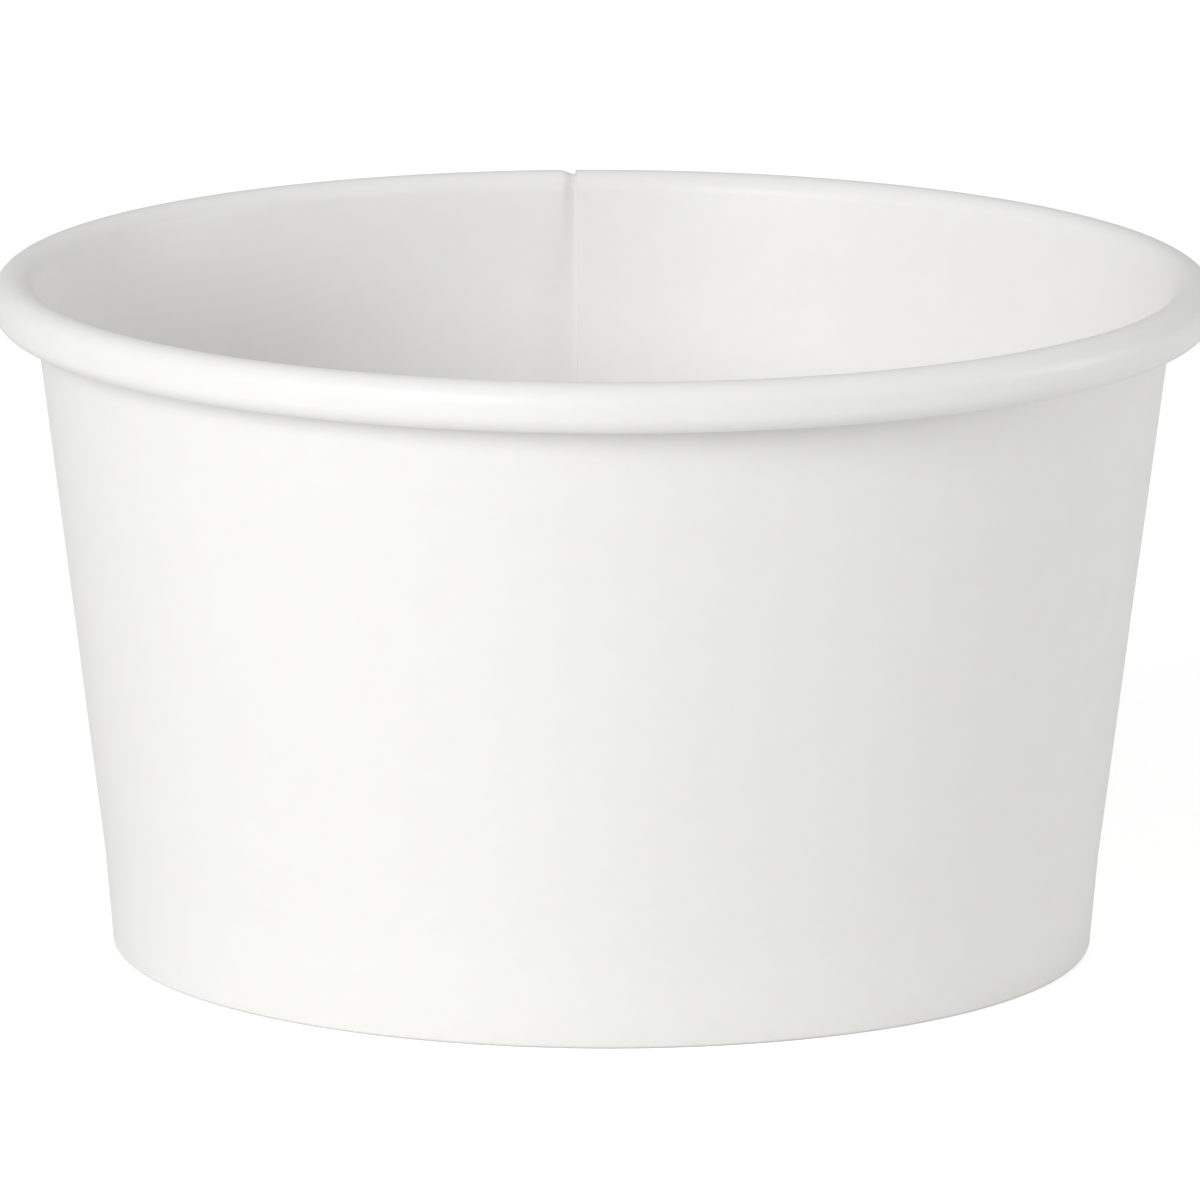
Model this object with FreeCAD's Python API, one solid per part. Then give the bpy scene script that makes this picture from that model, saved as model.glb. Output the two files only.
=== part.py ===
import FreeCAD, Part
import math
import os

# Paper sundae cup: one coated sheet wrapped to a cone, and a base disc sealed into its foot.
# Lengths are in millimetres, angles in degrees.
# The origin is the centre of the foot, on the surface that the cup stands on, with +Z up.

# Outside of the cup
rim_diameter = 115.0
foot_diameter = 92.6
cup_height = 64.2
heel_height = 8.8
heel_lean = 5.0
knee_radius = 30.0

# Paper
wall_thickness = 0.40
base_thickness = 0.33
seal_film = 0.02

# Rolled rim
bead_width = 4.1
bead_height = 4.6
curl_gap = 0.5
tail_turn = 120.0

# Foot: the sheet is folded up inside, round the skirt of the base disc
hem_height = 6.5
fold_inner_radius = 0.05
base_recess = 7.6
base_bend_radius = 0.5
skirt_clearance = 0.5

# Side seam: the sheet starts at seam_angle, runs clockwise and laps over its own start
seam_angle = 92.85
seam_lap = 8.0
seam_jog = 1.5
jog_steps = 4

# The sheet is made of flat panels, none of them more than 0.05 from the true round
turn_step = 4.5
curl_step = 26.0
fold_step = 48.0
knee_step = 4.0
flatness = 1e-6

# Radii along the middle of the sheet
half_wall = wall_thickness / 2
half_base = base_thickness / 2
rim_radius = rim_diameter / 2
foot_radius = foot_diameter / 2
fold_radius = fold_inner_radius + half_wall
curl_radius = (bead_width - wall_thickness) / 2
inward_curl_radius = curl_radius - (wall_thickness + curl_gap) / 2
tail_radius = inward_curl_radius - (wall_thickness + curl_gap) / 2

# The pocket in the foot holds the skirt with a sealing film on each of its faces
layer_spacing = base_thickness + 2 * seal_film + wall_thickness

# Where one layer lies on the other, it is shifted by the sheet and the film between them
lap_shift = wall_thickness + seal_film
middle_radius = (rim_radius + foot_radius) / 2
lap_angle = math.degrees(seam_lap / middle_radius)
jog_angle = math.degrees(seam_jog / middle_radius)

heel_tan = math.tan(math.radians(heel_lean))
heel_cos = math.cos(math.radians(heel_lean))
heel_sin = math.sin(math.radians(heel_lean))


def along(heading):
    """Unit vector in the XZ plane for a heading in degrees from +X towards +Z."""
    turned = math.radians(heading)
    return FreeCAD.Vector(math.cos(turned), 0, math.sin(turned))


def right_of(heading):
    """Unit vector to the right of a heading."""
    return along(heading - 90)


def follow(place, heading, moves):
    """Stops along the middle of a folded sheet, each with its heading.

    A move is the length of a straight run, or the radius, turn and step of a bend.
    A bend turns left for a positive turn.
    """
    stops = [(place, heading)]
    for move in moves:
        if len(move) == 1:
            place = place + along(heading) * move[0]
            stops.append((place, heading))
            continue
        radius, turn, step = move
        reach = math.copysign(radius, -turn)
        centre = place + right_of(heading) * reach
        chords = math.ceil(abs(turn) / step)
        for chord in range(1, chords + 1):
            facing = heading + turn * chord / chords
            stops.append((centre - right_of(facing) * reach, facing))
        place, heading = stops[-1]
    return stops


def beside(stops, offset):
    """Points that lie beside a sheet's stops, offset to its right."""
    return [place + right_of(heading) * offset for place, heading in stops]


def turned(points, angle):
    """The points turned about the cup's axis."""
    spin = FreeCAD.Rotation(FreeCAD.Vector(0, 0, 1), angle)
    return [spin.multVec(point) for point in points]


def flat(corners):
    """A flat face over a loop of corners."""
    return Part.Face(Part.makePolygon(corners + corners[:1]))


def panels(near, far):
    """Flat panels that join two outlines point by point, in halves where four corners are not flat."""
    faces = []
    for step in range(len(near) - 1):
        first, second, third, fourth = near[step], near[step + 1], far[step + 1], far[step]
        normal = (second - first).cross(third - first).normalize()
        if abs(normal.dot(fourth - first)) < flatness:
            faces.append(flat([first, second, third, fourth]))
        else:
            faces.append(flat([first, second, third]))
            faces.append(flat([first, third, fourth]))
    return faces


def closed_solid(faces):
    """One solid inside the faces, with faces that lie in one plane joined."""
    return Part.Solid(Part.Shell(faces)).removeSplitter()


def eased(share):
    """Share of a smooth climb, from 0 to 1."""
    share = min(max(share, 0), 1)
    return share * share * (3 - 2 * share)


def seam_shift(winding):
    """How far outwards the sheet lies at a winding angle, to pass over its own start."""
    return lap_shift * eased((winding - 360 + jog_angle) / jog_angle)


def fold_lift(winding):
    """How far the fold is raised, so that both layers of the seam stand level with the foot."""
    past_lap = eased((winding - lap_angle) / jog_angle)
    return max(lap_shift * (1 - past_lap), seam_shift(winding))


def round_windings():
    """Winding angles of the sections in the first turn, closer together on the jog."""
    jog_start = 360 - jog_angle
    plain = [turn_step * count for count in range(math.ceil(jog_start / turn_step))]
    return plain + [jog_start + jog_angle * step / jog_steps for step in range(jog_steps)]


def lap_windings():
    """Winding angles of the sections that lie over the sheet's start."""
    inner = [turn_step * count for count in range(math.ceil(lap_angle / turn_step))]
    return [360 + winding for winding in inner + [lap_angle]]


def heel_middle(z):
    """Radius of the middle of the heel's outer layer at a height."""
    return foot_radius + z * heel_tan - half_wall / heel_cos


def wall_stops(lift):
    """The sheet from the edge of its hem, round the fold, up the wall and into the rolled rim."""
    fold_z = lift + half_wall + fold_radius
    hem_run = (hem_height - fold_z - fold_radius * heel_sin) / heel_cos
    land_run = (layer_spacing - 2 * fold_radius) / heel_cos

    # Above the knee the wall runs straight to where the rolled rim begins
    knee = FreeCAD.Vector(heel_middle(heel_height), 0, heel_height)
    curl_r = rim_radius - half_wall - curl_radius
    curl_z = cup_height - half_wall - curl_radius
    reach = FreeCAD.Vector(curl_r, 0, curl_z) - knee
    aim = math.degrees(math.atan2(reach.x, reach.z))
    wall_lean = aim - math.degrees(math.asin(curl_radius / reach.Length))
    knee_turn = wall_lean - heel_lean
    knee_tangent = knee_radius * math.tan(math.radians(knee_turn / 2))
    heel_run = (heel_height - fold_z + fold_radius * heel_sin) / heel_cos - knee_tangent
    wall_run = math.sqrt(reach.Length ** 2 - curl_radius ** 2) - knee_tangent
    side_run = bead_height - wall_thickness - curl_radius - inward_curl_radius

    moves = [
        (hem_run,),
        (fold_radius, 90 + heel_lean, fold_step),
        (land_run,),
        (fold_radius, 90 - heel_lean, fold_step),
        (heel_run,),
        (knee_radius, -knee_turn, knee_step),
        (wall_run,),
        (curl_radius, wall_lean - 180, curl_step),
        (side_run,),
        (inward_curl_radius, -180, curl_step),
        (tail_radius, -tail_turn, curl_step),
    ]
    hem_edge = FreeCAD.Vector(heel_middle(hem_height) - layer_spacing / heel_cos, 0, hem_height)
    return follow(hem_edge, -90 - heel_lean, moves)


def wall_outline(winding):
    """Closed outline of the sheet's section at a winding angle."""
    stops = wall_stops(fold_lift(winding))
    shift = seam_shift(winding)
    inside = beside(stops, shift - half_wall)
    outside = beside(stops, shift + half_wall)
    return turned(inside + outside[::-1] + inside[:1], seam_angle - winding)


def side_wall():
    """The wrapped sheet, with its lapped seam, rolled rim and turned-in hem, as one solid."""
    outlines = [wall_outline(winding) for winding in round_windings() + lap_windings()]
    faces = [flat(outlines[0][:-1]), flat(outlines[-1][:-1])]
    for near, far in zip(outlines, outlines[1:]):
        faces += panels(near, far)
    return closed_solid(faces)


def base_outline(winding):
    """Outline of the disc's section, from its top, round the skirt, to its underside."""
    bend_radius = base_bend_radius + half_base
    disc_z = base_recess + half_base
    bend_z = disc_z - bend_radius
    skirt_offset = half_wall + seal_film + half_base
    bend_r = heel_middle(bend_z) - (skirt_offset + bend_radius) / heel_cos
    skirt_end = wall_thickness + skirt_clearance
    skirt_run = (bend_z - bend_radius * heel_sin - skirt_end) / heel_cos
    moves = [(bend_radius, -90 - heel_lean, fold_step), (skirt_run,)]
    stops = follow(FreeCAD.Vector(bend_r, 0, disc_z), 0, moves)
    top, under = beside(stops, -half_base), beside(stops, half_base)
    return turned(top + under[::-1], seam_angle - winding)


def base_disc():
    """The disc, with its rim turned down into a skirt between the wall and its hem."""
    outlines = [base_outline(winding) for winding in round_windings()]
    faces = [flat([outline[end] for outline in outlines]) for end in (0, -1)]
    for near, far in zip(outlines, outlines[1:] + outlines[:1]):
        faces += panels(near, far)
    return closed_solid(faces)


os.makedirs("parts", exist_ok=True)
side_wall().exportStep("parts/side_wall.step")
base_disc().exportStep("parts/base_disc.step")
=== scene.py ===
"""Looks of a paper sundae cup: its coated wall, lapped seam and rolled rim, and its sealed base."""

import math

import bmesh
import bpy
from mathutils import Matrix, Vector


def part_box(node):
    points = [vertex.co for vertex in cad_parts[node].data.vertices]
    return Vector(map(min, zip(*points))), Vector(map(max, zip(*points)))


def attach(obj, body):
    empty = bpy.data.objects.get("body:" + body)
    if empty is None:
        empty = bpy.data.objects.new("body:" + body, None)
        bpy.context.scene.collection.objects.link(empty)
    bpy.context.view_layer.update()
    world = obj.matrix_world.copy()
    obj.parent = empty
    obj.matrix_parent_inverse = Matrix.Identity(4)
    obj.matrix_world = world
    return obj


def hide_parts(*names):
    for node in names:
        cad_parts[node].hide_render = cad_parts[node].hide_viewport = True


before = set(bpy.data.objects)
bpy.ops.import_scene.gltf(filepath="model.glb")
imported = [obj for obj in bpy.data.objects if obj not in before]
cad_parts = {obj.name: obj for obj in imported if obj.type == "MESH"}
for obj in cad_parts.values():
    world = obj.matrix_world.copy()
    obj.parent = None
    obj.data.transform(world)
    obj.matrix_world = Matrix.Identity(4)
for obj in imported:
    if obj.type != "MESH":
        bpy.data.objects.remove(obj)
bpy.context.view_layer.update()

# Lengths are in metres and angles in degrees, as in the frame
mm = 0.001
wall_low, wall_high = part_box("side_wall")
base_low, base_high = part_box("base_disc")

# Outside of the cup
rim_radius = wall_high[0]
cup_height = wall_high[2]
foot_radius = 46.3 * mm
heel_height = 8.8 * mm
heel_lean = 5.0
knee_radius = 30.0 * mm

# Paper
wall_thickness = 0.40 * mm
base_thickness = 0.33 * mm
seal_film = 0.02 * mm
waviness = 0.07 * mm
waviness_scale = 45.0

# Rolled rim
bead_width = 4.1 * mm
bead_height = 4.6 * mm
curl_gap = 0.5 * mm
tail_turn = 120.0

# Foot
hem_height = 6.5 * mm
fold_inner_radius = 0.05 * mm
base_bend_radius = 0.5 * mm
base_steps = 240
knurls = 180
knurl_depth = 0.13 * mm
knurl_margin = 0.6 * mm

# Side seam
seam_angle = 92.85
seam_lap = 8.0 * mm
seam_jog = 1.5 * mm
free_jog = 5.0 * mm
turn_sections = 540
jog_sections = 12
lap_sections = 16

# Points nearer than this are one, and a fold sharper than this angle is a sharp edge
merge_distance = 0.002 * mm
sharp_angle = 35.0

# Finishes: each paper has a pale and a darker shade
board_finish = {
    "shades": ((0.888, 0.884, 0.862, 1), (0.880, 0.875, 0.852, 1)),
    "roughness": 0.46,
    "fibre_depth": 0.03 * mm,
    "coat": 0.12,
}
cut_finish = {
    "shades": ((0.80, 0.78, 0.74, 1), (0.76, 0.735, 0.69, 1)),
    "roughness": 0.85,
    "fibre_depth": 0.06 * mm,
    "coat": 0.0,
}
cloud_scale = 260.0
fibre_scale = 3600.0
peel_scale = 900.0
coat_roughness = 0.32
floor_shade = (0.88, 0.88, 0.88, 1)
white = (1, 1, 1, 1)

# Derived sizes, along the middle of the sheet
half_wall = wall_thickness / 2
half_base = base_thickness / 2
fold_radius = fold_inner_radius + half_wall
curl_radius = (bead_width - wall_thickness) / 2
inward_curl_radius = curl_radius - (wall_thickness + curl_gap) / 2
tail_radius = inward_curl_radius - (wall_thickness + curl_gap) / 2
layer_spacing = base_thickness + 2 * seal_film + wall_thickness
lap_shift = wall_thickness + seal_film
middle_radius = (rim_radius + foot_radius) / 2
lap_angle = math.degrees(seam_lap / middle_radius)
jog_angle = math.degrees(seam_jog / middle_radius)
heel_tan = math.tan(math.radians(heel_lean))
heel_cos = math.cos(math.radians(heel_lean))
heel_sin = math.sin(math.radians(heel_lean))


# Nodes

def add_node(tree, kind, inputs=None, **settings):
    """A node with its settings, and with its inputs linked or set."""
    node = tree.nodes.new(kind)
    for name, value in settings.items():
        setattr(node, name, value)
    for socket, value in (inputs or {}).items():
        if isinstance(value, bpy.types.NodeSocket):
            tree.links.new(value, node.inputs[socket])
        else:
            node.inputs[socket].default_value = value
    return node


def maths(tree, operation, *values):
    """The result of a Math node."""
    node = add_node(tree, "ShaderNodeMath", dict(enumerate(values)), operation=operation)
    return node.outputs[0]


def vector_maths(tree, operation, *values):
    """The result of a Vector Math node."""
    node = add_node(tree, "ShaderNodeVectorMath", dict(enumerate(values)), operation=operation)
    return node.outputs[0]


def scaled(tree, vector, scale):
    """A vector times a number."""
    node = add_node(tree, "ShaderNodeVectorMath", {0: vector, "Scale": scale}, operation="SCALE")
    return node.outputs[0]


def smooth_share(tree, value, low, high):
    """How far a value has gone from low to high, eased at both ends."""
    sockets = {"Value": value, "From Min": low, "From Max": high, "To Min": 0.0, "To Max": 1.0}
    node = add_node(tree, "ShaderNodeMapRange", sockets, interpolation_type="SMOOTHSTEP")
    return node.outputs["Result"]


# The section of the sheet

def along(heading):
    """Unit vector in the XZ plane for a heading in degrees from +X towards +Z."""
    turned = math.radians(heading)
    return Vector((math.cos(turned), 0, math.sin(turned)))


def right_of(heading):
    """Unit vector to the right of a heading."""
    return along(heading - 90)


def follow(place, heading, moves):
    """Stops along the middle of a folded sheet, each with its heading.

    A move is the length and pieces of a straight run, or the radius, turn and pieces of a bend.
    """
    stops = [(place, heading)]
    for move in moves:
        if len(move) == 2:
            length, pieces = move
            for piece in range(1, pieces + 1):
                stops.append((place + along(heading) * length * piece / pieces, heading))
        else:
            radius, turn, pieces = move
            reach = math.copysign(radius, -turn)
            centre = place + right_of(heading) * reach
            for piece in range(1, pieces + 1):
                facing = heading + turn * piece / pieces
                stops.append((centre - right_of(facing) * reach, facing))
        place, heading = stops[-1]
    return stops


def heel_middle(z):
    """Radius of the middle of the heel's outer layer at a height."""
    return foot_radius + z * heel_tan - half_wall / heel_cos


def wall_stops():
    """The sheet from the edge of its hem, round the fold, up the wall and into the rolled rim."""
    fold_z = half_wall + fold_radius
    hem_run = (hem_height - fold_z - fold_radius * heel_sin) / heel_cos
    land_run = (layer_spacing - 2 * fold_radius) / heel_cos
    knee = Vector((heel_middle(heel_height), 0, heel_height))
    curl_r = rim_radius - half_wall - curl_radius
    curl_z = cup_height - half_wall - curl_radius
    reach = Vector((curl_r, 0, curl_z)) - knee
    aim = math.degrees(math.atan2(reach.x, reach.z))
    wall_lean = aim - math.degrees(math.asin(curl_radius / reach.length))
    knee_turn = wall_lean - heel_lean
    knee_tangent = knee_radius * math.tan(math.radians(knee_turn / 2))
    heel_run = (heel_height - fold_z + fold_radius * heel_sin) / heel_cos - knee_tangent
    wall_run = math.sqrt(reach.length ** 2 - curl_radius ** 2) - knee_tangent
    side_run = bead_height - wall_thickness - curl_radius - inward_curl_radius
    moves = [
        (knurl_margin, 1),
        (hem_run - 2 * knurl_margin, 4),
        (knurl_margin, 1),
        (fold_radius, 90 + heel_lean, 5),
        (land_run, 1),
        (fold_radius, 90 - heel_lean, 5),
        (heel_run, 3),
        (knee_radius, -knee_turn, 3),
        (wall_run, 9),
        (curl_radius, wall_lean - 180, 18),
        (side_run, 1),
        (inward_curl_radius, -180, 16),
        (tail_radius, -tail_turn, 10),
    ]
    hem_edge = Vector((heel_middle(hem_height) - layer_spacing / heel_cos, 0, hem_height))
    return follow(hem_edge, -90 - heel_lean, moves)


def is_hem(place, heading):
    """Whether a stop lies on the hem, the layer that runs down to the fold."""
    return heading < -90 and place.z < heel_height


def rise_share(place, heading):
    """How much of the fold's lift a stop takes: all at the fold, none at the hem's edge or knee."""
    fold_top = half_wall + fold_radius
    if place.z > heel_height:
        return 0.0
    top = hem_height if is_hem(place, heading) else heel_height
    return min(max((top - place.z) / (top - fold_top), 0.0), 1.0)


def knurl_share(place, heading):
    """Full knurling on the hem, and none near its edge and the fold."""
    fold_top = half_wall + fold_radius
    clear = fold_top + knurl_margin * 0.9 < place.z < hem_height - knurl_margin * 0.9
    return 1.0 if is_hem(place, heading) and clear else 0.0


def wave_share(place, heading):
    """How free the wall is to be uneven: not at all at the heel and the rim, fully halfway up."""
    share = (place.z - heel_height) / (cup_height - bead_height - heel_height)
    return math.sin(math.pi * share) if 0 < share < 1 else 0.0


def jog_share(place, heading):
    """How many times as wide the jog is: narrow at the foot and rim, gentle on the free wall."""
    return 1 + (free_jog / seam_jog - 1) * min(3 * wave_share(place, heading), 1)


SHARES = {"rise": rise_share, "knurled": knurl_share, "wavy": wave_share, "jogging": jog_share}


def section_of_stops(name, stops):
    """A mesh with one vertex for each stop, and what the wrapping needs to know of it."""
    mesh = bpy.data.meshes.new(name)
    mesh.from_pydata([place for place, heading in stops], [], [])
    across = mesh.attributes.new("across", "FLOAT_VECTOR", "POINT")
    directions = [part for place, heading in stops for part in right_of(heading)]
    across.data.foreach_set("vector", directions)
    for share_name, share in SHARES.items():
        values = mesh.attributes.new(share_name, "FLOAT", "POINT")
        values.data.foreach_set("value", [share(place, heading) for place, heading in stops])
    piece = bpy.data.objects.new(name, mesh)
    bpy.context.scene.collection.objects.link(piece)
    return piece


# The wrapping

WRAP_SIZES = [
    ("Seam Angle", seam_angle),
    ("Lap Angle", lap_angle),
    ("Jog Angle", jog_angle),
    ("Lap Shift", lap_shift),
    ("Half Thickness", half_wall),
    ("Heel Slope", heel_tan),
    ("Knurls", float(knurls)),
    ("Turn Sections", float(turn_sections)),
    ("Jog Sections", float(jog_sections)),
    ("Lap Sections", float(lap_sections)),
    ("Knurl Depth", knurl_depth),
    ("Waviness", waviness),
]


def stop_value(tree, sizes, stop, kind, name=None):
    """What a stop of the section holds: its place, or a named attribute."""
    if name:
        value = add_node(tree, "GeometryNodeInputNamedAttribute", {"Name": name}, data_type=kind)
    else:
        value = add_node(tree, "GeometryNodeInputPosition")
    sockets = {"Geometry": sizes["Geometry"], "Value": value.outputs[0], "Index": stop}
    return add_node(tree, "GeometryNodeSampleIndex", sockets, data_type=kind, clamp=True).outputs[0]


def sheet_point(tree, sizes, stop, side, winding):
    """The place in the wrapped sheet of a stop, a side from -1 to 1 and a winding angle."""
    place = stop_value(tree, sizes, stop, "FLOAT_VECTOR")
    across = stop_value(tree, sizes, stop, "FLOAT_VECTOR", "across")
    rise = stop_value(tree, sizes, stop, "FLOAT", "rise")
    knurled = stop_value(tree, sizes, stop, "FLOAT", "knurled")
    wavy = stop_value(tree, sizes, stop, "FLOAT", "wavy")
    jogging = stop_value(tree, sizes, stop, "FLOAT", "jogging")

    # The sheet climbs over its own start, and both layers' fold is raised there
    jog_start = maths(tree, "SUBTRACT", 360.0, maths(tree, "MULTIPLY", sizes["Jog Angle"], jogging))
    climbed = smooth_share(tree, winding, jog_start, 360.0)
    climb = maths(tree, "MULTIPLY", sizes["Lap Shift"], climbed)
    lap_end = maths(tree, "ADD", sizes["Lap Angle"], sizes["Jog Angle"])
    past_lap = smooth_share(tree, winding, sizes["Lap Angle"], lap_end)
    start_lift = maths(tree, "MULTIPLY", sizes["Lap Shift"], maths(tree, "SUBTRACT", 1.0, past_lap))
    lift = maths(tree, "MULTIPLY", rise, maths(tree, "MAXIMUM", start_lift, climb))
    outwards = maths(tree, "MULTIPLY", lift, sizes["Heel Slope"])
    lifted = add_node(tree, "ShaderNodeCombineXYZ", {"X": outwards, "Z": lift}).outputs[0]

    # Knurls are pressed into the side that faces the cup's axis
    turns = maths(tree, "MULTIPLY", maths(tree, "RADIANS", winding), sizes["Knurls"])
    groove = maths(tree, "MULTIPLY_ADD", maths(tree, "COSINE", turns), -0.5, 0.5)
    pressed = maths(tree, "MULTIPLY", maths(tree, "MAXIMUM", side, 0.0), knurled)
    depth = maths(tree, "MULTIPLY", maths(tree, "MULTIPLY", groove, pressed), sizes["Knurl Depth"])
    half = maths(tree, "MULTIPLY", side, sizes["Half Thickness"])
    offset = maths(tree, "ADD", climb, maths(tree, "SUBTRACT", half, depth))

    # The free part of the wall is a little uneven, both layers of the seam alike
    turn = maths(tree, "RADIANS", maths(tree, "SUBTRACT", sizes["Seam Angle"], winding))
    spin = {"Vector": place, "Angle": turn}
    middle = add_node(tree, "ShaderNodeVectorRotate", spin, rotation_type="Z_AXIS").outputs[0]
    noise = {"Vector": middle, "Scale": waviness_scale, "Detail": 1.0}
    uneven = add_node(tree, "ShaderNodeTexNoise", noise, noise_dimensions="3D").outputs[0]
    swing = maths(tree, "MULTIPLY", wavy, 2.0)
    wave = maths(tree, "MULTIPLY", maths(tree, "SUBTRACT", uneven, 0.5), swing)
    offset = maths(tree, "ADD", offset, maths(tree, "MULTIPLY", wave, sizes["Waviness"]))

    raised = vector_maths(tree, "ADD", place, lifted)
    moved = vector_maths(tree, "ADD", raised, scaled(tree, across, offset))
    spin = {"Vector": moved, "Angle": turn}
    return add_node(tree, "ShaderNodeVectorRotate", spin, rotation_type="Z_AXIS").outputs[0]


def index_field(tree, coordinate, count):
    """The number of a grid's row, from its centred coordinate."""
    last = maths(tree, "MULTIPLY", maths(tree, "SUBTRACT", count, 1.0), 0.5)
    return maths(tree, "ROUND", maths(tree, "ADD", coordinate, last))


def sheet_side(tree, sizes, x_count, y_count, meaning, cut):
    """One side of the sheet: a grid whose rows mean stops, sides or winding angles."""
    grid_size = {
        "Size X": maths(tree, "SUBTRACT", x_count, 1.0),
        "Size Y": maths(tree, "SUBTRACT", y_count, 1.0),
        "Vertices X": x_count,
        "Vertices Y": y_count,
    }
    grid = add_node(tree, "GeometryNodeMeshGrid", grid_size).outputs["Mesh"]
    position = add_node(tree, "GeometryNodeInputPosition").outputs[0]
    split = add_node(tree, "ShaderNodeSeparateXYZ", {0: position})
    x_index = index_field(tree, split.outputs["X"], x_count)
    y_index = index_field(tree, split.outputs["Y"], y_count)
    stop, side, winding = meaning(x_index, y_index)
    point = sheet_point(tree, sizes, stop, side, winding)
    moved = {"Geometry": grid, "Position": point}
    placed = add_node(tree, "GeometryNodeSetPosition", moved).outputs[0]
    mark = {"Geometry": placed, "Name": "cut_edge", "Value": cut}
    marked = add_node(
        tree, "GeometryNodeStoreNamedAttribute", mark, data_type="BOOLEAN", domain="FACE")
    return marked.outputs[0]


def wrapping_tree():
    """Geometry Nodes that wrap a section round the axis, over its own start, into one solid sheet."""
    tree = bpy.data.node_groups.new("wrap_sheet", "GeometryNodeTree")
    tree.interface.new_socket("Geometry", in_out="INPUT", socket_type="NodeSocketGeometry")
    for name, _ in WRAP_SIZES:
        tree.interface.new_socket(name, in_out="INPUT", socket_type="NodeSocketFloat")
    tree.interface.new_socket("Sheet Material", in_out="INPUT", socket_type="NodeSocketMaterial")
    tree.interface.new_socket("Cut Material", in_out="INPUT", socket_type="NodeSocketMaterial")
    tree.interface.new_socket("Geometry", in_out="OUTPUT", socket_type="NodeSocketGeometry")
    sizes = tree.nodes.new("NodeGroupInput").outputs

    counts = add_node(tree, "GeometryNodeAttributeDomainSize", {0: sizes["Geometry"]}).outputs
    stop_count = counts["Point Count"]
    last_stop = maths(tree, "SUBTRACT", stop_count, 1.0)
    whole_turn = maths(tree, "ADD", 360.0, sizes["Lap Angle"])
    jog_start = maths(tree, "SUBTRACT", 360.0, sizes["Jog Angle"])
    jog_from = sizes["Turn Sections"]
    lap_from = maths(tree, "ADD", jog_from, sizes["Jog Sections"])
    last_section = maths(tree, "ADD", lap_from, sizes["Lap Sections"])
    section_count = maths(tree, "ADD", last_section, 1.0)

    def stretch(index, first, last, turn):
        """The part of a turn that the sections from first to last have made."""
        sockets = {"Value": index, "From Min": first, "From Max": last, "To Max": turn}
        return add_node(tree, "ShaderNodeMapRange", sockets).outputs["Result"]

    def winding_of(index):
        """The winding angle of a section. They lie closer together on the jog and the lap."""
        turned = stretch(index, 0.0, jog_from, jog_start)
        jogged = stretch(index, jog_from, lap_from, sizes["Jog Angle"])
        lapped = stretch(index, lap_from, last_section, sizes["Lap Angle"])
        return maths(tree, "ADD", maths(tree, "ADD", turned, jogged), lapped)

    def side_of(index):
        return maths(tree, "MULTIPLY_ADD", index, 2.0, -1.0)

    sides = [
        (stop_count, section_count, lambda x, y: (x, -1.0, winding_of(y)), False),
        (stop_count, section_count, lambda x, y: (x, 1.0, winding_of(y)), False),
        (2, section_count, lambda x, y: (0, side_of(x), winding_of(y)), True),
        (2, section_count, lambda x, y: (last_stop, side_of(x), winding_of(y)), True),
        (stop_count, 2, lambda x, y: (x, side_of(y), 0.0), True),
        (stop_count, 2, lambda x, y: (x, side_of(y), whole_turn), True),
    ]
    join = tree.nodes.new("GeometryNodeJoinGeometry")
    for x_count, y_count, meaning, cut in sides:
        tree.links.new(sheet_side(tree, sizes, x_count, y_count, meaning, cut), join.inputs[0])
    merge = {"Geometry": join.outputs[0], "Distance": merge_distance}
    merged = add_node(tree, "GeometryNodeMergeByDistance", merge).outputs[0]
    real = add_node(tree, "GeometryNodeRealizeInstances", {0: merged}).outputs[0]
    paper = {"Geometry": real, "Material": sizes["Sheet Material"]}
    coated = add_node(tree, "GeometryNodeSetMaterial", paper).outputs[0]
    cut_face = add_node(
        tree, "GeometryNodeInputNamedAttribute", {"Name": "cut_edge"}, data_type="BOOLEAN")
    bare = {"Geometry": coated, "Selection": cut_face.outputs[0], "Material": sizes["Cut Material"]}
    finished = add_node(tree, "GeometryNodeSetMaterial", bare).outputs[0]
    tree.links.new(finished, tree.nodes.new("NodeGroupOutput").inputs[0])
    return tree


def made_plain(source, name, tree, values):
    """The result of a Geometry Nodes tree on an object, as a plain mesh object. The source goes."""
    modifier = source.modifiers.new("wrap", "NODES")
    modifier.node_group = tree
    for item in tree.interface.items_tree:
        if item.in_out == "INPUT" and item.name in values:
            modifier[item.identifier] = values[item.name]
    graph = bpy.context.evaluated_depsgraph_get()
    graph.update()
    mesh = bpy.data.meshes.new_from_object(source.evaluated_get(graph))
    source.modifiers.remove(modifier)
    bpy.data.objects.remove(source)
    piece = bpy.data.objects.new(name, mesh)
    mesh.name = name
    bpy.context.scene.collection.objects.link(piece)
    return piece


def finish_faces(piece):
    """Normals outwards, smooth faces, and sharp edges where the paper is cut or folded hard."""
    shell = bmesh.new()
    shell.from_mesh(piece.data)
    bmesh.ops.remove_doubles(shell, verts=shell.verts, dist=merge_distance / 2)
    bmesh.ops.recalc_face_normals(shell, faces=shell.faces)
    for face in shell.faces:
        face.smooth = True
    for edge in shell.edges:
        closed = len(edge.link_faces) == 2
        edge.smooth = closed and math.degrees(edge.calc_face_angle()) < sharp_angle
    shell.to_mesh(piece.data)
    shell.free()
    for name in ("cut_edge", "across", *SHARES):
        attribute = piece.data.attributes.get(name)
        if attribute:
            piece.data.attributes.remove(attribute)


def make_wall(paper, cut_paper):
    """The wrapped side wall, with its rolled rim, lapped seam and knurled hem."""
    values = dict(WRAP_SIZES)
    values.update({"Sheet Material": paper, "Cut Material": cut_paper})
    source = section_of_stops("section_of_wall", wall_stops())
    wall = made_plain(source, "wrapped_wall", wrapping_tree(), values)
    finish_faces(wall)
    return wall


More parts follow.
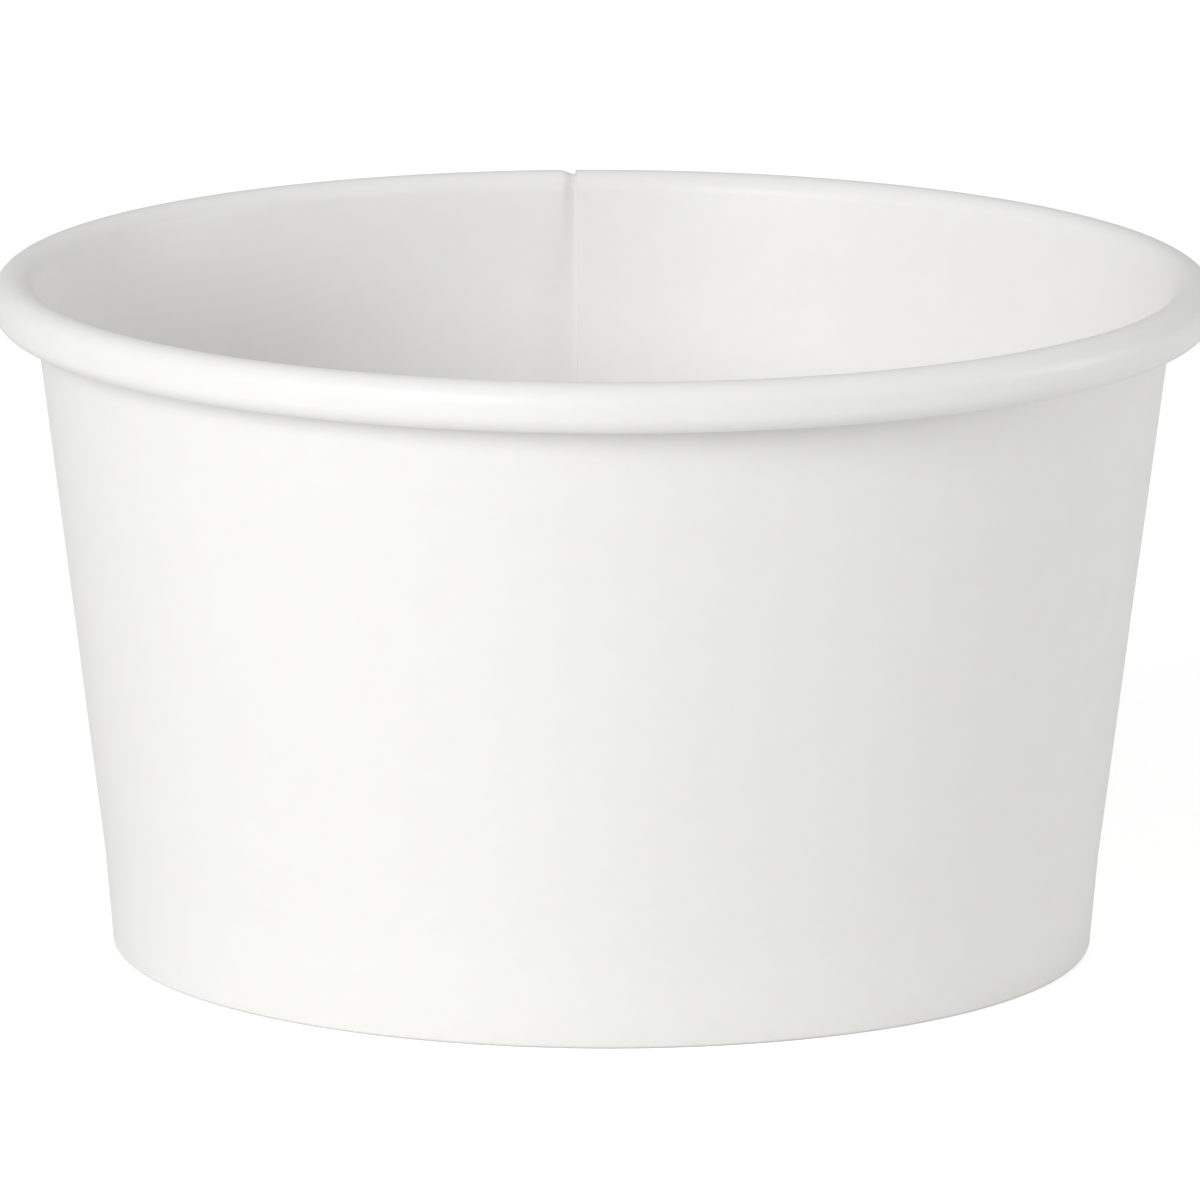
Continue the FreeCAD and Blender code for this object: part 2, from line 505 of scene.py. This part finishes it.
def base_outline():
    """The base disc's section, from the middle of its top, round the skirt, to its underside."""
    bend_radius = base_bend_radius + half_base
    disc_z = base_high[2] - half_base
    bend_z = disc_z - bend_radius
    skirt_offset = half_wall + seal_film + half_base
    bend_r = heel_middle(bend_z) - (skirt_offset + bend_radius) / heel_cos
    skirt_run = (bend_z - bend_radius * heel_sin - base_low[2]) / heel_cos
    moves = [(bend_r, 12), (bend_radius, -90 - heel_lean, 8), (skirt_run, 2)]
    stops = follow(Vector((0, 0, disc_z)), 0, moves)
    top = [place - right_of(heading) * half_base for place, heading in stops]
    under = [place + right_of(heading) * half_base for place, heading in stops]
    return top + under[::-1]


def make_base(paper):
    """The base disc with its turned-down skirt, turned about the cup's axis."""
    outline = base_outline()
    shell = bmesh.new()
    rings = []
    for point in outline:
        if point.x < merge_distance / 2:
            rings.append([shell.verts.new(point)] * base_steps)
            continue
        angles = [2 * math.pi * step / base_steps for step in range(base_steps)]
        spins = [Matrix.Rotation(angle, 3, "Z") for angle in angles]
        rings.append([shell.verts.new(spin @ point) for spin in spins])
    for near, far in zip(rings, rings[1:]):
        for step in range(base_steps):
            corners = [near[step - 1], near[step], far[step], far[step - 1]]
            shell.faces.new(list(dict.fromkeys(corners)))
    mesh = bpy.data.meshes.new("sealed_base")
    shell.to_mesh(mesh)
    shell.free()
    mesh.materials.append(paper)
    base = bpy.data.objects.new("sealed_base", mesh)
    bpy.context.scene.collection.objects.link(base)
    finish_faces(base)
    return base


# Finishes

def new_material(name):
    """An empty node material with its output."""
    material = bpy.data.materials.new(name)
    material.use_nodes = True
    material.node_tree.nodes.clear()
    output = material.node_tree.nodes.new("ShaderNodeOutputMaterial")
    return material, material.node_tree, output


def paper_material(name, shades, roughness, fibre_depth, coat):
    """White cup board: cloudy formation, fine fibres in relief, and a thin coat."""
    material, tree, output = new_material(name)
    places = add_node(tree, "ShaderNodeTexCoord").outputs["Object"]

    # Cloudy formation of the pulp, a few millimetres across
    cloud = {"Vector": places, "Scale": cloud_scale, "Detail": 3.0, "Roughness": 0.55}
    clouds = add_node(tree, "ShaderNodeTexNoise", cloud).outputs[0]
    spread = {"Value": clouds, "From Min": 0.35, "From Max": 0.65}
    cloudy = add_node(tree, "ShaderNodeMapRange", spread).outputs["Result"]
    shade, dark_shade = shades
    colour = add_node(tree, "ShaderNodeMix", {0: cloudy, 6: dark_shade, 7: shade}, data_type="RGBA")

    # Fibres, and the slight orange peel of the coat over them
    fibre = {"Vector": places, "Scale": fibre_scale, "Detail": 4.0}
    fibre.update({"Roughness": 0.6, "Distortion": 0.8})
    fibres = add_node(tree, "ShaderNodeTexNoise", fibre).outputs[0]
    peel = {"Vector": places, "Scale": peel_scale, "Detail": 1.0}
    peels = add_node(tree, "ShaderNodeTexNoise", peel).outputs[0]
    relief = maths(tree, "MULTIPLY_ADD", peels, 0.7, fibres)
    bump = {"Height": relief, "Strength": 0.35, "Distance": fibre_depth}
    normal = add_node(tree, "ShaderNodeBump", bump).outputs[0]
    gloss = {"Value": fibres, "From Min": 0.3, "From Max": 0.7}
    gloss.update({"To Min": roughness - 0.05, "To Max": roughness + 0.05})
    rough = add_node(tree, "ShaderNodeMapRange", gloss).outputs["Result"]

    surface = {"Base Color": colour.outputs[2], "Roughness": rough, "Normal": normal, "IOR": 1.45}
    surface.update({"Coat Weight": coat, "Coat Roughness": coat_roughness})
    shader = add_node(tree, "ShaderNodeBsdfPrincipled", surface).outputs[0]
    tree.links.new(shader, output.inputs["Surface"])
    return material


def floor_material():
    """A pale matt floor that reads as the white backdrop and still takes the cup's shadow."""
    material, tree, output = new_material("pale_floor")
    diffuse = add_node(tree, "ShaderNodeBsdfDiffuse", {"Color": floor_shade}).outputs[0]
    camera_ray = add_node(tree, "ShaderNodeLightPath").outputs["Is Camera Ray"]
    strength = maths(tree, "MULTIPLY", camera_ray, floor_glow)
    glow = add_node(tree, "ShaderNodeEmission", {"Color": white, "Strength": strength}).outputs[0]
    both = add_node(tree, "ShaderNodeAddShader", {0: diffuse, 1: glow}).outputs[0]
    tree.links.new(both, output.inputs["Surface"])
    return material


# The studio

floor_half = 6.0
floor_glow = 0.47
sky_low, sky_high = 0.2, 0.6
horizon_strength = 0.36
zenith_strength = 0.59
key_power = 17.0
key_place = (-0.95, -1.35, 0.71)
key_size = 0.8
fill_power = 6.8
fill_place = (1.72, 0.22, 0.28)
fill_size = 0.5


def make_floor():
    """A wide floor under the cup."""
    half = floor_half
    corners = [(-half, -half, 0), (half, -half, 0), (half, half, 0), (-half, half, 0)]
    mesh = bpy.data.meshes.new("floor")
    mesh.from_pydata(corners, [], [(0, 1, 2, 3)])
    mesh.materials.append(floor_material())
    floor = bpy.data.objects.new("floor", mesh)
    bpy.context.scene.collection.objects.link(floor)


def make_world():
    """Soft light, stronger from above, and white where the camera sees past the floor."""
    world = bpy.data.worlds.new("studio")
    bpy.context.scene.world = world
    world.use_nodes = True
    tree = world.node_tree
    tree.nodes.clear()
    camera_ray = add_node(tree, "ShaderNodeLightPath").outputs["Is Camera Ray"]
    direction = add_node(tree, "ShaderNodeTexCoord").outputs["Generated"]
    height = add_node(tree, "ShaderNodeSeparateXYZ", {0: direction}).outputs["Z"]
    climb = {"Value": height, "From Min": sky_low, "From Max": sky_high}
    climb.update({"To Min": horizon_strength, "To Max": zenith_strength})
    light = add_node(tree, "ShaderNodeMapRange", climb).outputs["Result"]
    missing = maths(tree, "SUBTRACT", 1.0, light)
    strength = maths(tree, "MULTIPLY_ADD", camera_ray, missing, light)
    sky = add_node(tree, "ShaderNodeBackground", {"Color": white, "Strength": strength}).outputs[0]
    output = tree.nodes.new("ShaderNodeOutputWorld")
    tree.links.new(sky, output.inputs["Surface"])


def make_lamp(name, place, size, power):
    """A square soft lamp that faces the middle of the cup."""
    lamp_data = bpy.data.lights.new(name, "AREA")
    lamp_data.size = size
    lamp_data.energy = power
    lamp = bpy.data.objects.new(name, lamp_data)
    lamp.location = place
    aim = Vector((0, 0, cup_height / 2)) - Vector(place)
    lamp.rotation_euler = aim.to_track_quat("-Z", "Y").to_euler()
    bpy.context.scene.collection.objects.link(lamp)


def make_camera():
    """A long lens a little above the cup, with the photograph's framing and its slight roll."""
    distance = 1.4375
    elevation = math.radians(11.61)
    roll = math.radians(0.209)
    target = Vector((-0.00026, 0, 0.03268))
    data = bpy.data.cameras.new("camera")
    data.sensor_width = 36
    data.lens = 456.2
    data.clip_end = 50
    camera = bpy.data.objects.new("camera", data)
    back = Vector((0, -math.cos(elevation), math.sin(elevation)))
    camera.location = target + back * distance
    upright = (-back).to_track_quat("-Z", "Y").to_matrix()
    camera.rotation_euler = (upright @ Matrix.Rotation(roll, 3, "Z")).to_euler()
    bpy.context.scene.collection.objects.link(camera)
    bpy.context.scene.camera = camera


wall_paper = paper_material("coated_white_board", **board_finish)
base_paper = paper_material("coated_base_board", **board_finish)
cut_board = paper_material("cut_edge_of_board", **cut_finish)

wall = make_wall(wall_paper, cut_board)
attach(wall, "root")
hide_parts("side_wall")

base = make_base(base_paper)
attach(base, "root")
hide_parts("base_disc")

make_floor()
make_world()
make_lamp("key", key_place, key_size, key_power)
make_lamp("fill", fill_place, fill_size, fill_power)
make_camera()
bpy.context.scene.view_settings.view_transform = "Standard"
